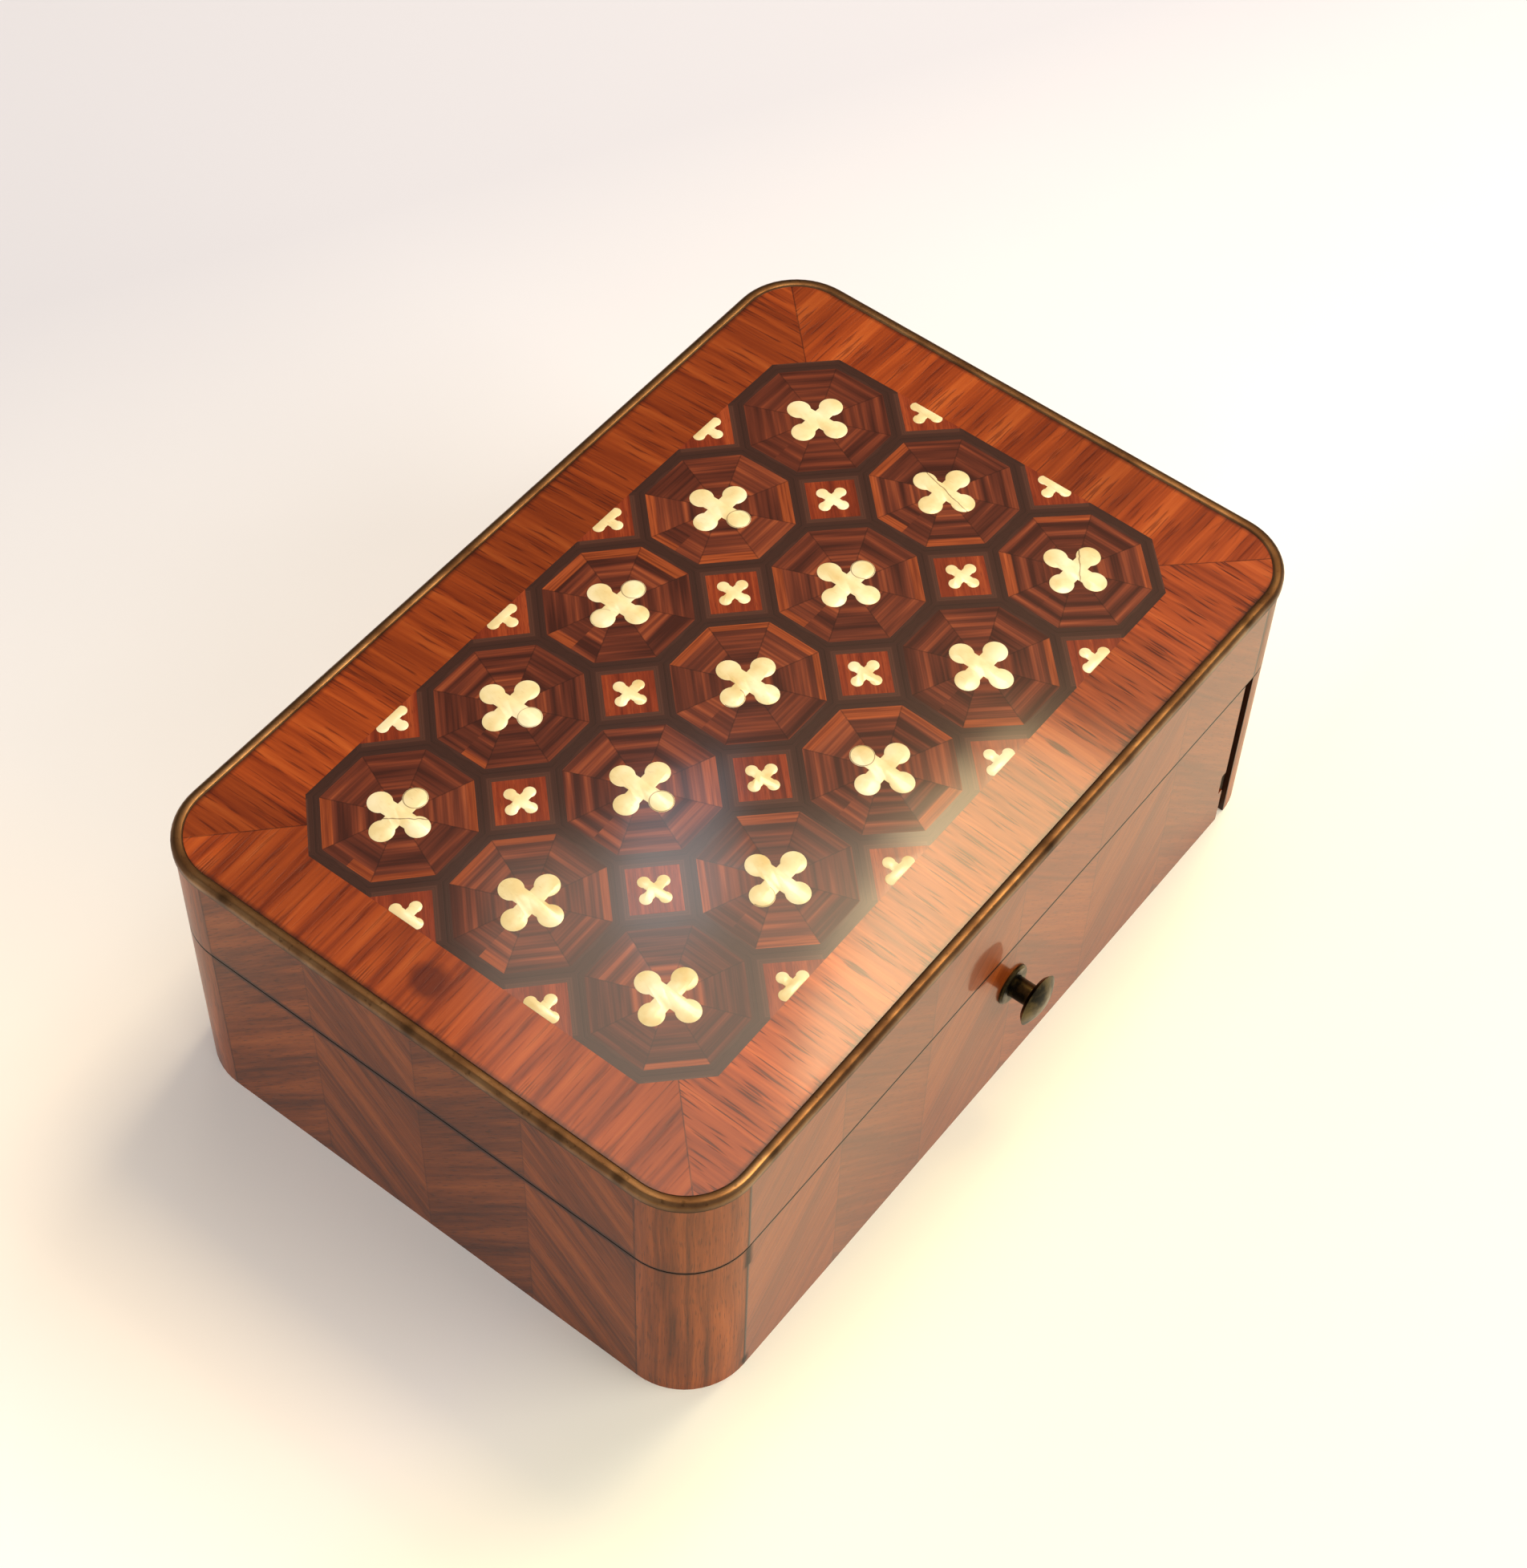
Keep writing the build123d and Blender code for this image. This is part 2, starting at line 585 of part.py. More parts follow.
for side, region in mitres.items():
    save("crossbanding_" + side, inlay(surround & region))
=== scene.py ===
import math

import bmesh
import bpy
from mathutils import Matrix, Vector


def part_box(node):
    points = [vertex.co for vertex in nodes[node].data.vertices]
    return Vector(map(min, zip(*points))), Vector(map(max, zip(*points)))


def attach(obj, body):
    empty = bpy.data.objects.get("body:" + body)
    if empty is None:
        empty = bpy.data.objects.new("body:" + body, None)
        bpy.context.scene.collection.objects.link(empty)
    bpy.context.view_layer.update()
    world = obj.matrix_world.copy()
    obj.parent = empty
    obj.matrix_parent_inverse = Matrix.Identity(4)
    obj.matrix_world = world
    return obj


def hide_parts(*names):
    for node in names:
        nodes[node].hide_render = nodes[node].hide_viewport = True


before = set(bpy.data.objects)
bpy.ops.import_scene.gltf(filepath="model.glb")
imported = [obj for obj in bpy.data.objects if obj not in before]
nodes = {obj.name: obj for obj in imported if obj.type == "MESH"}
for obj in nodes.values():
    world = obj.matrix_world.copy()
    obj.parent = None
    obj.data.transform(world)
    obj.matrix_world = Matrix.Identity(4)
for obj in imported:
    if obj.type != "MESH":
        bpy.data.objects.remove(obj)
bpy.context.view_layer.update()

# The photograph's frame and the camera that matches it, in metres and degrees
PHOTO_WIDTH = 1904
PHOTO_HEIGHT = 1955
FOCAL_PIXELS = 4022.7
SENSOR = 36.0
CAMERA_PLACE = (-0.19190, -0.14245, 0.34766)
CAMERA_TARGET = (0.00252, -0.00106, 0.024)
CAMERA_ROLL = -2.253

# Sizes in metres and counts, as the solids have them
PITCH = 0.020
COLUMNS = 5
ROWS = 3
LARGE_LOBE = 0.00156
LARGE_REACH = 0.00292
LARGE_ARM = 0.0022
SMALL_LOBE = 0.0008
SMALL_REACH = 0.0016
SMALL_ARM = 0.0013
VENEER = 0.0008
CORNER_RADIUS = 0.009
CROWN_RISE = 0.0021
LONG_SIDE_LEAVES = 6
SHORT_SIDE_LEAVES = 4
BEAD_INSET = 0.00125  # how far the moulding reaches in over the lid
HEAD_LIP = 0.0005  # bevel behind the rim of the push button

# Finer shapes and marks, which the solids don't have
BONE_PROUD = 0.00003  # how far the bone stands above the wood round it
BONE_ROUNDING = 0.00006
BEAD_ROUNDING = 0.0006
HEAD_SIDES = 64
FRONT_SEAM = 0.00022  # width of the dark line where lid and base meet, at the front
# At the short sides the seam's dark line is wider, as painted shade in the gap.
SIDE_SEAM_WITH_SHADE = 0.00045  # the same at the short sides
STAIN_PLACE = (-0.0548, 0.0024)  # on the left border

LAMP_WHITE = (1.0, 0.97, 0.92)


def spread(node):
    """Lowest and highest corner of a node as vectors."""
    low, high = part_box(node)
    return Vector(low), Vector(high)


BEAD_LOW, BEAD_HIGH = spread("edge_bead")
FIELD_HIGH = spread("banding_lattice")[1]
FRONT_LOW, FRONT_HIGH = spread("lid_front_veneer")
SIDE_HIGH = spread("lid_left_veneer")[1]
CASE_HIGH = spread("base_corner_veneers")[1]
HEAD_LOW, HEAD_HIGH = spread("button_head")
HALF_X = CASE_HIGH.x
HALF_Y = CASE_HIGH.y
SEAM = (CASE_HIGH.z + FRONT_LOW.z) / 2
CROWN_TOP = spread("large_quatrefoils")[1].z


def crown(x, y):
    """Height of the crowned top."""
    return CROWN_TOP - CROWN_RISE * (1 - (1 - (x / HALF_X) ** 2) * (1 - (y / HALF_Y) ** 2))


def srgb(red, green, blue):
    """A colour given as 0 to 255 screen values, as Blender's linear colour."""
    def linear(value):
        value = value / 255
        return value / 12.92 if value <= 0.04045 else ((value + 0.055) / 1.055) ** 2.4
    return (linear(red), linear(green), linear(blue), 1.0)


# Wood tones, from the darkest streak to the lightest
ROSEWOOD = (
    (0.30, srgb(54, 26, 11)),
    (0.44, srgb(102, 48, 18)),
    (0.56, srgb(130, 64, 24)),
    (0.72, srgb(156, 82, 34)),
)
# Painted light: a lighter, warmer copy of the rosewood for the long sides, standing for the light on
# the front.
PAINTED_LIGHT_ROSEWOOD = (
    (0.28, srgb(94, 38, 8)),
    (0.44, srgb(114, 48, 10)),
    (0.56, srgb(130, 58, 13)),
    (0.74, srgb(148, 73, 20)),
)
TULIPWOOD = (
    (0.30, srgb(84, 27, 10)),
    (0.42, srgb(140, 54, 17)),
    (0.55, srgb(176, 76, 26)),
    (0.72, srgb(210, 106, 44)),
)
RED_WOOD = (
    (0.32, srgb(84, 28, 12)),
    (0.50, srgb(124, 46, 20)),
    (0.68, srgb(158, 70, 32)),
)
EBONY = (
    (0.30, srgb(38, 22, 17)),
    (0.52, srgb(64, 37, 29)),
    (0.75, srgb(94, 57, 43)),
)
BARE_WOOD = (
    (0.30, srgb(140, 96, 58)),
    (0.50, srgb(172, 126, 80)),
    (0.70, srgb(196, 152, 104)),
)
OCTAGON_WOOD = (
    (0.38, srgb(60, 25, 16)),
    (0.50, srgb(90, 40, 25)),
    (0.57, srgb(112, 51, 30)),
    (0.68, srgb(146, 72, 40)),
)
# Dark of the joints between pieces, also used for painted shade in the open joint, the seam gap and
# along the moulding.
JOINT_AND_SHADE_DARK = srgb(26, 12, 8)


class Graph:
    """A material's node tree, with short calls for the nodes that the surfaces use."""

    def __init__(self, name):
        self.material = bpy.data.materials.new(name)
        self.material.use_nodes = True
        self.tree = self.material.node_tree
        self.tree.nodes.clear()
        self.output = self.tree.nodes.new("ShaderNodeOutputMaterial")
        self.shader = self.tree.nodes.new("ShaderNodeBsdfPrincipled")
        self.tree.links.new(self.shader.outputs[0], self.output.inputs["Surface"])
        place = self.tree.nodes.new("ShaderNodeTexCoord")
        split = self.tree.nodes.new("ShaderNodeSeparateXYZ")
        self.tree.links.new(place.outputs["Object"], split.inputs[0])
        self.place = place.outputs["Object"]
        self.x, self.y, self.z = split.outputs

    def feed(self, socket, value):
        """Put a number, colour or another node's output into a socket."""
        if isinstance(value, bpy.types.NodeSocket):
            self.tree.links.new(value, socket)
        else:
            socket.default_value = value

    def math(self, operation, *values):
        node = self.tree.nodes.new("ShaderNodeMath")
        node.operation = operation
        for socket, value in zip(node.inputs, values):
            self.feed(socket, value)
        return node.outputs[0]

    def times(self, a, b):
        return self.math("MULTIPLY", a, b)

    def plus(self, a, b):
        return self.math("ADD", a, b)

    def minus(self, a, b):
        return self.math("SUBTRACT", a, b)

    def size(self, a):
        return self.math("ABSOLUTE", a)

    def larger(self, a, b):
        return self.math("MAXIMUM", a, b)

    def length(self, a, b):
        return self.math("SQRT", self.plus(self.times(a, a), self.times(b, b)))

    def vector(self, x, y, z):
        node = self.tree.nodes.new("ShaderNodeCombineXYZ")
        for socket, value in zip(node.inputs, (x, y, z)):
            self.feed(socket, value)
        return node.outputs[0]

    def noise(self, vector, detail=2.0, roughness=0.5, distortion=0.0, scale=1.0):
        node = self.tree.nodes.new("ShaderNodeTexNoise")
        self.feed(node.inputs["Vector"], vector)
        self.feed(node.inputs["Scale"], scale)
        self.feed(node.inputs["Detail"], detail)
        self.feed(node.inputs["Roughness"], roughness)
        self.feed(node.inputs["Distortion"], distortion)
        return node.outputs[0]

    def random(self, *values):
        """A random number from 0 to 1 that is the same wherever the values are the same."""
        node = self.tree.nodes.new("ShaderNodeTexWhiteNoise")
        node.noise_dimensions = "3D"
        filled = list(values) + [0.0] * (3 - len(values))
        self.feed(node.inputs["Vector"], self.vector(*filled))
        return node.outputs["Value"]

    def ramp(self, factor, *stops):
        """A colour ramp through (position, colour) stops."""
        node = self.tree.nodes.new("ShaderNodeValToRGB")
        elements = node.color_ramp.elements
        while len(elements) < len(stops):
            elements.new(1.0)
        for element, (position, colour) in zip(elements, stops):
            element.position = position
            element.color = colour
        self.feed(node.inputs[0], factor)
        return node.outputs[0]

    def map(self, value, low, high, to_low=0.0, to_high=1.0):
        """Carry a range of values to another, clamped at both ends."""
        node = self.tree.nodes.new("ShaderNodeMapRange")
        for socket, number in zip(node.inputs, (value, low, high, to_low, to_high)):
            self.feed(socket, number)
        return node.outputs[0]

    def mix(self, factor, a, b, blend="MIX"):
        node = self.tree.nodes.new("ShaderNodeMix")
        node.data_type = "RGBA"
        node.blend_type = blend
        self.feed(node.inputs[0], factor)
        self.feed(node.inputs[6], a)
        self.feed(node.inputs[7], b)
        return node.outputs[2]

    def near(self, distance, width, amount=1.0):
        """A soft mark, amount strong at distance 0 and gone at twice the width."""
        return self.map(self.size(distance), width * 0.5, width * 2.0, amount, 0.0)

    def tone(self, colour, shade):
        """Multiply a colour by a grey shade."""
        return self.mix(1.0, colour, self.vector(shade, shade, shade), "MULTIPLY")

    def bump(self, height, strength, distance):
        node = self.tree.nodes.new("ShaderNodeBump")
        self.feed(node.inputs["Strength"], strength)
        self.feed(node.inputs["Distance"], distance)
        self.feed(node.inputs["Height"], height)
        self.tree.links.new(node.outputs[0], self.shader.inputs["Normal"])

    def set(self, **values):
        """Set the shader's own sockets by name, with underscores for spaces."""
        for name, value in values.items():
            self.feed(self.shader.inputs[name.replace("_", " ")], value)
        return self.material


def polish(graph, coat=1.0, coat_roughness=0.11):
    """Old polish over wood; coat says how much of it is left."""
    graph.set(Coat_Weight=coat, Coat_Roughness=coat_roughness, Coat_IOR=1.5)
    graph.set(Roughness=0.38, Specular_IOR_Level=0.15)


def grain(
    graph, along, across, seed, tones, fine=1.0, pores=(5200, 380, 0.5), relief=0.12, fine_share=0.38
):
    """Wood figure: broad bands, fine streaks and short dark pores along one direction.

    pores holds how close the pores lie across and along the grain, and how dark they are.
    """
    bands = graph.noise(
        graph.vector(graph.times(across, 430 * fine), graph.times(along, 20 * fine), seed),
        detail=3.0, roughness=0.6, distortion=0.35,
    )
    streaks = graph.noise(
        graph.vector(graph.times(across, 2100 * fine), graph.times(along, 60 * fine), seed),
        detail=3.0, roughness=0.65,
    )
    pore_places = graph.vector(graph.times(across, pores[0]), graph.times(along, pores[1]), seed)
    figure = graph.plus(graph.times(bands, 1 - fine_share), graph.times(streaks, fine_share))
    colour = graph.ramp(figure, *tones)
    ticks = graph.map(graph.noise(pore_places, detail=1.0), 0.58, 0.68)
    colour = graph.mix(graph.times(ticks, pores[2]), colour, tones[0][1])
    graph.bump(graph.minus(streaks, graph.times(ticks, 1.5)), relief, 0.00006)
    return colour


def from_joint(graph, run, width):
    """Distance to the nearest joint of leaves that are all equally wide."""
    middle = graph.minus(graph.math("FRACT", graph.math("DIVIDE", run, width)), 0.5)
    return graph.times(graph.minus(0.5, graph.size(middle)), width)


def painted_gap_shade(graph):
    """Two black marks of painted shade in the open left joint of the base's front."""
    beside = graph.near(graph.plus(graph.x, FRONT_HIGH.x), 0.0005, 0.95)
    in_front = graph.map(graph.y, -0.5 * HALF_Y, -0.6 * HALF_Y)
    upper_from, upper_full = 0.0240, 0.0246
    upper = graph.map(graph.z, upper_from, upper_full)
    lower_height = 0.0012
    lower = graph.near(graph.minus(graph.z, lower_height), 0.0007)
    below_seam = graph.map(graph.z, SEAM, SEAM + 0.0002, 1.0, 0.0)
    marks = graph.times(graph.larger(upper, lower), below_seam)
    return graph.times(graph.times(marks, in_front), beside)


def side_veneer(name, along_x, half_length, leaves, tones, coat):
    """Book-matched leaves with their grain running aslant, mirrored from leaf to leaf."""
    graph = Graph(name)
    run = graph.plus(graph.x if along_x else graph.y, half_length)
    width = 2 * half_length / leaves
    leaf = graph.math("FLOOR", graph.math("DIVIDE", run, width))
    folded = graph.math("PINGPONG", run, width)
    slant = math.radians(42)
    along = graph.plus(graph.times(folded, math.sin(slant)), graph.times(graph.z, math.cos(slant)))
    across = graph.minus(graph.times(folded, math.cos(slant)), graph.times(graph.z, math.sin(slant)))
    colour = grain(graph, along, across, 3.0 if along_x else 9.0, tones)
    shade = graph.map(graph.random(leaf, 4.0), 0.0, 1.0, 0.85, 1.08)
    colour = graph.tone(colour, shade)
    joint = graph.near(from_joint(graph, run, width), 0.00008, 0.3)
    at_end = graph.minus(graph.size(graph.minus(run, half_length)), half_length)
    end = graph.near(at_end, 0.00016, 0.95 if along_x else 0.55)
    # The seam is a thin dark joint at the front; on the short sides it is wider, as painted shade in
    # the gap.
    seam = graph.near(graph.minus(graph.z, SEAM), FRONT_SEAM if along_x else SIDE_SEAM_WITH_SHADE, 0.92)
    # Dark joints, together with painted shade in the seam gap and in the open joint.
    joints_and_shade = graph.larger(graph.larger(joint, end), seam)
    if along_x:
        # Painted shade of the open joint at the front's left end, with no polish on it.
        gap_shade = painted_gap_shade(graph)
        joints_and_shade = graph.larger(joints_and_shade, gap_shade)
        coat = graph.times(graph.minus(1.0, gap_shade), coat)
    colour = graph.mix(joints_and_shade, colour, JOINT_AND_SHADE_DARK)
    polish(graph, coat=coat, coat_roughness=0.05)
    return graph.set(Base_Color=colour)


def corner_veneer(name):
    """Veneer bent round an upright corner, its grain upright and slightly wavy."""
    graph = Graph(name)
    wave = graph.times(graph.noise(graph.place, scale=60.0), 0.002)
    across = graph.plus(graph.minus(graph.x, graph.y), wave)
    colour = grain(graph, graph.z, across, 5.0, ROSEWOOD, fine=0.8)
    clouds = graph.map(graph.noise(graph.place, scale=90.0), 0.3, 0.7, 1.12, 1.48)
    colour = graph.tone(colour, clouds)
    seam = graph.near(graph.minus(graph.z, SEAM), FRONT_SEAM, 0.92)
    at_front = graph.near(graph.minus(graph.size(graph.x), FRONT_HIGH.x), 0.00018, 0.9)
    at_side = graph.near(graph.minus(graph.size(graph.y), SIDE_HIGH.y), 0.00006, 0.3)
    # Painted shade of the open joint at the front's left end, with no polish on it.
    gap_shade = painted_gap_shade(graph)
    # Dark joints, together with painted shade in the open joint.
    joints_and_shade = graph.larger(graph.larger(at_front, at_side), graph.larger(seam, gap_shade))
    colour = graph.mix(joints_and_shade, colour, JOINT_AND_SHADE_DARK)
    polish(graph, coat=graph.times(graph.minus(1.0, gap_shade), 0.14))
    return graph.set(Base_Color=colour)


def crossbanding(name, along_x, leaf_width, seed, pore_darkness, light, stain):
    """Short grain across the border, in leaves of different tone that mirror each other.

    stain is the place of a round dark stain, if the length has one.
    """
    graph = Graph(name)
    run = graph.plus(graph.x if along_x else graph.y, 1.0 + seed * 0.0037)
    depth = graph.y if along_x else graph.x
    leaf = graph.math("FLOOR", graph.math("DIVIDE", run, leaf_width))
    folded = graph.math("PINGPONG", run, leaf_width)
    colour = grain(
        graph, depth, folded, seed, TULIPWOOD,
        pores=(2600, 160, pore_darkness), relief=0.35, fine_share=0.22,
    )
    # light is painted shade: the back and side borders get darker copies of the same wood than the
    # front.
    shade = graph.map(graph.random(leaf, seed), 0.0, 1.0, 0.68 * light, 1.08 * light)
    colour = graph.tone(colour, shade)
    joint = graph.near(from_joint(graph, run, leaf_width), 0.00006, 0.35)
    overhang_x = graph.minus(graph.size(graph.x), FIELD_HIGH.x)
    overhang_y = graph.minus(graph.size(graph.y), FIELD_HIGH.y)
    mitre = graph.near(graph.minus(overhang_x, overhang_y), 0.00008, 0.6)
    colour = graph.mix(graph.larger(joint, mitre), colour, JOINT_AND_SHADE_DARK)
    # Painted shade: the border darkens towards the foot of the brass moulding.
    rim = graph.larger(
        graph.minus(graph.size(graph.x), HALF_X - BEAD_INSET),
        graph.minus(graph.size(graph.y), HALF_Y - BEAD_INSET),
    )
    colour = graph.mix(graph.map(rim, -0.0006, 0.0, 0.0, 0.7), colour, JOINT_AND_SHADE_DARK)
    if stain:
        distance = graph.length(graph.minus(graph.x, stain[0]), graph.minus(graph.y, stain[1]))
        wobble = graph.times(graph.noise(graph.place, scale=500.0), 0.0012)
        spot = graph.map(graph.plus(distance, wobble), 0.0022, 0.0034, 0.75, 0.0)
        colour = graph.mix(spot, colour, srgb(70, 18, 8))
    polish(graph, coat=0.8)
    return graph.set(Base_Color=colour)


def cell(graph):
    """Place inside the octagon that a point belongs to, and that octagon's column and row."""
    half_x = PITCH * COLUMNS / 2
    half_y = PITCH * ROWS / 2
    column = graph.math("FLOOR", graph.math("DIVIDE", graph.plus(graph.x, half_x), PITCH))
    row = graph.math("FLOOR", graph.math("DIVIDE", graph.plus(graph.y, half_y), PITCH))
    u = graph.minus(graph.plus(graph.x, half_x - PITCH / 2), graph.times(column, PITCH))
    v = graph.minus(graph.plus(graph.y, half_y - PITCH / 2), graph.times(row, PITCH))
    return u, v, column, row


def octagon_ring(graph, u, v):
    """Distance from an octagon's middle, measured square to its nearest side."""
    slope = graph.times(graph.plus(graph.size(u), graph.size(v)), math.sqrt(0.5))
    return graph.larger(graph.larger(graph.size(u), graph.size(v)), slope)


def octagon_wedges(name):
    """Eight wedges round each quatrefoil, grain along the outer side, in ring-like stripes."""
    graph = Graph(name)
    u, v, column, row = cell(graph)
    ring = octagon_ring(graph, u, v)
    eighth = graph.math("DIVIDE", graph.math("ARCTAN2", v, u), math.pi / 4)
    wedge = graph.math("FLOOR", graph.plus(eighth, 0.5))
    heading = graph.times(wedge, math.pi / 4)
    along = graph.minus(
        graph.times(v, graph.math("COSINE", heading)), graph.times(u, graph.math("SINE", heading))
    )
    octagon = graph.plus(graph.times(column, 3.7), graph.times(row, 11.3))
    own = graph.random(column, row, wedge)
    seed = graph.plus(octagon, graph.times(own, 0.9))
    stripes = graph.noise(
        graph.vector(graph.times(ring, 880), graph.times(along, 40), seed), detail=1.5, roughness=0.5
    )
    fine = graph.noise(
        graph.vector(graph.times(ring, 3600), graph.times(along, 110), octagon), detail=2.0
    )
    figure = graph.plus(graph.times(stripes, 0.76), graph.times(fine, 0.24))
    figure = graph.plus(figure, graph.map(own, 0.0, 1.0, -0.035, 0.035))
    colour = graph.ramp(figure, *OCTAGON_WOOD)
    strip_depth = graph.map(graph.random(column, wedge, row), 0.0, 1.0, 0.0007, 0.0016)
    outer = graph.minus(PITCH / 2 - 0.001, ring)
    strip = graph.map(graph.minus(outer, strip_depth), -0.0001, 0.0001, 1.0, 0.0)
    chosen = graph.map(graph.random(wedge, row, column), 0.62, 0.64)
    strip = graph.times(graph.times(strip, chosen), 0.6)
    bright = graph.ramp(fine, (0.3, srgb(120, 48, 18)), (0.7, srgb(182, 88, 38)))
    colour = graph.mix(strip, colour, bright)
    half_way = graph.size(graph.minus(graph.math("FRACT", graph.plus(eighth, 0.5)), 0.5))
    joint = graph.near(graph.times(graph.minus(0.5, half_way), ring), 0.00007, 0.45)
    colour = graph.mix(joint, colour, JOINT_AND_SHADE_DARK)
    graph.bump(graph.minus(fine, graph.times(joint, 0.5)), 0.10, 0.00005)
    polish(graph)
    return graph.set(Base_Color=colour)


def lattice(name):
    """Dark lines between the octagons, with the grain along each line."""
    graph = Graph(name)
    u, v = cell(graph)[:2]
    ring = octagon_ring(graph, u, v)
    colour = grain(graph, graph.plus(graph.size(u), graph.size(v)), ring, 2.0, EBONY)
    polish(graph)
    return graph.set(Base_Color=colour)


def small_tiles(name):
    """Red wood of the square tiles and border triangles, its grain running aslant."""
    graph = Graph(name)
    along = graph.plus(graph.x, graph.y)
    across = graph.minus(graph.x, graph.y)
    colour = grain(graph, along, across, 7.0, RED_WOOD)
    polish(graph)
    return graph.set(Base_Color=colour)


def bone(name, reach=None):
    """Polished bone: cream, with yellow clouds and fine brown flecks.

    With reach, the distance of a quatrefoil's lobes, some pieces have hairline cracks too.
    """
    graph = Graph(name)
    clouds = graph.noise(graph.place, detail=3.0, scale=260.0)
    flecks = graph.noise(graph.vector(graph.times(graph.x, 5200), graph.times(graph.y, 900), 0.0))
    colour = graph.ramp(
        clouds,
        (0.30, srgb(216, 189, 128)),
        (0.50, srgb(230, 212, 160)),
        (0.70, srgb(240, 227, 188)),
    )
    colour = graph.mix(graph.map(flecks, 0.62, 0.75, 0.0, 0.3), colour, srgb(190, 150, 92))
    height = graph.times(flecks, 0.3)
    if reach:
        u, v, column, row = cell(graph)
        turn = graph.times(graph.random(column, row, 3.0), 2 * math.pi)
        wander = graph.times(graph.minus(graph.noise(graph.place, scale=700.0), 0.5), 0.0006)
        skew = graph.plus(
            graph.times(u, graph.math("COSINE", turn)), graph.times(v, graph.math("SINE", turn))
        )
        offset = graph.map(graph.random(column, row, 5.0), 0.0, 1.0, -0.0009, 0.0009)
        cracked = graph.map(graph.random(column, row, 8.0), 0.62, 0.64)
        crack = graph.near(graph.plus(graph.minus(skew, offset), wander), 0.00005)
        crack = graph.times(crack, cracked)
        quarter = graph.math("FLOOR", graph.plus(
            graph.math("DIVIDE", graph.math("ARCTAN2", v, u), math.pi / 2), 0.5
        ))
        lobe_u = graph.times(graph.math("COSINE", graph.times(quarter, math.pi / 2)), reach)
        lobe_v = graph.times(graph.math("SINE", graph.times(quarter, math.pi / 2)), reach)
        from_lobe = graph.length(graph.minus(u, lobe_u), graph.minus(v, lobe_v))
        loose = graph.map(graph.random(column, quarter, row), 0.84, 0.86)
        rim = graph.times(graph.near(graph.minus(from_lobe, LARGE_LOBE * 0.93), 0.00004), loose)
        crack = graph.larger(crack, rim)
        colour = graph.mix(graph.times(crack, 0.8), colour, srgb(96, 58, 26))
        height = graph.minus(height, crack)
    graph.bump(height, 0.15, 0.00005)
    return graph.set(Base_Color=colour, Roughness=0.32, Coat_Weight=0.7, Coat_Roughness=0.12)


def metal(name, dull, bright, roughness):
    """Old brass: bright where it is rubbed, dull brown where it has toned."""
    graph = Graph(name)
    patina = graph.noise(graph.place, detail=4.0, roughness=0.6, scale=420.0)
    colour = graph.ramp(patina, (0.38, dull), (0.62, bright))
    worn = graph.map(patina, 0.35, 0.7, roughness + 0.16, roughness - 0.06)
    graph.bump(patina, 0.12, 0.00005)
    return graph.set(Base_Color=colour, Metallic=1.0, Roughness=worn)


def bead_brass(name, marks):
    """Brass moulding: toned brown, lighter in patches, dark in a few marks, with painted shade at
    its foot.
    """
    graph = Graph(name)
    patina = graph.noise(graph.place, detail=4.0, roughness=0.55, scale=160.0)
    specks = graph.noise(graph.place, detail=2.0, scale=1400.0)
    colour = graph.ramp(
        patina,
        (0.36, srgb(92, 64, 42)),
        (0.52, srgb(114, 82, 54)),
        (0.68, srgb(132, 100, 68)),
    )
    specks_marks_and_shade = graph.map(specks, 0.62, 0.72, 0.0, 0.4)
    for x, y in marks:
        distance = graph.length(graph.minus(graph.x, x), graph.minus(graph.y, y))
        specks_marks_and_shade = graph.larger(specks_marks_and_shade, graph.map(distance, 0.0004, 0.0012, 0.55, 0.0))
    # Painted shade along the moulding's foot.
    foot = graph.map(graph.z, BEAD_LOW.z + 0.00005, BEAD_LOW.z + 0.0003, 0.85, 0.0)
    specks_marks_and_shade = graph.larger(specks_marks_and_shade, foot)
    colour = graph.mix(specks_marks_and_shade, colour, srgb(30, 20, 12))
    worn = graph.map(patina, 0.35, 0.7, 0.46, 0.28)
    graph.bump(graph.plus(patina, graph.times(specks, 0.2)), 0.08, 0.00008)
    return graph.set(Base_Color=colour, Metallic=1.0, Roughness=worn)


def bare_wood(name, along_x):
    """Unpolished board inside the box."""
    graph = Graph(name)
    along, side = (graph.x, graph.y) if along_x else (graph.y, graph.x)
    colour = grain(graph, along, graph.plus(side, graph.z), 6.0, BARE_WOOD, fine=0.7)
    return graph.set(Base_Color=colour, Roughness=0.62)


def core_in_painted_shade(name):
    """The board behind the open joint in the front veneer, painted black near its face as the shade
    in the joint.
    """
    graph = Graph(name)
    colour = grain(graph, graph.x, graph.plus(graph.y, graph.z), 6.0, BARE_WOOD, fine=0.7)
    # Painted shade: the board's face inside the open joint is blackened.
    outside = graph.map(graph.y, FRONT_LOW.y + 0.0009, FRONT_LOW.y + 0.0015, 1.0, 0.0)
    colour = graph.mix(graph.times(outside, 0.96), colour, srgb(30, 22, 14))
    return graph.set(Base_Color=colour, Roughness=0.66)


def dress(material, *names):
    """Give CAD nodes their material."""
    for name in names:
        for entry in nodes[name].material_slots:
            entry.material = material


def new_piece(name, mesh_builder, material, body, replaced):
    """Turn a bmesh into a smooth-shaded piece that stands for a CAD node."""
    mesh = bpy.data.meshes.new(name)
    bmesh.ops.recalc_face_normals(mesh_builder, faces=mesh_builder.faces)
    mesh_builder.to_mesh(mesh)
    mesh_builder.free()
    mesh.materials.append(material)
    piece = bpy.data.objects.new(name, mesh)
    bpy.context.collection.objects.link(piece)
    mesh.set_sharp_from_angle(angle=math.radians(50))
    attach(piece, body)
    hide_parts(replaced)


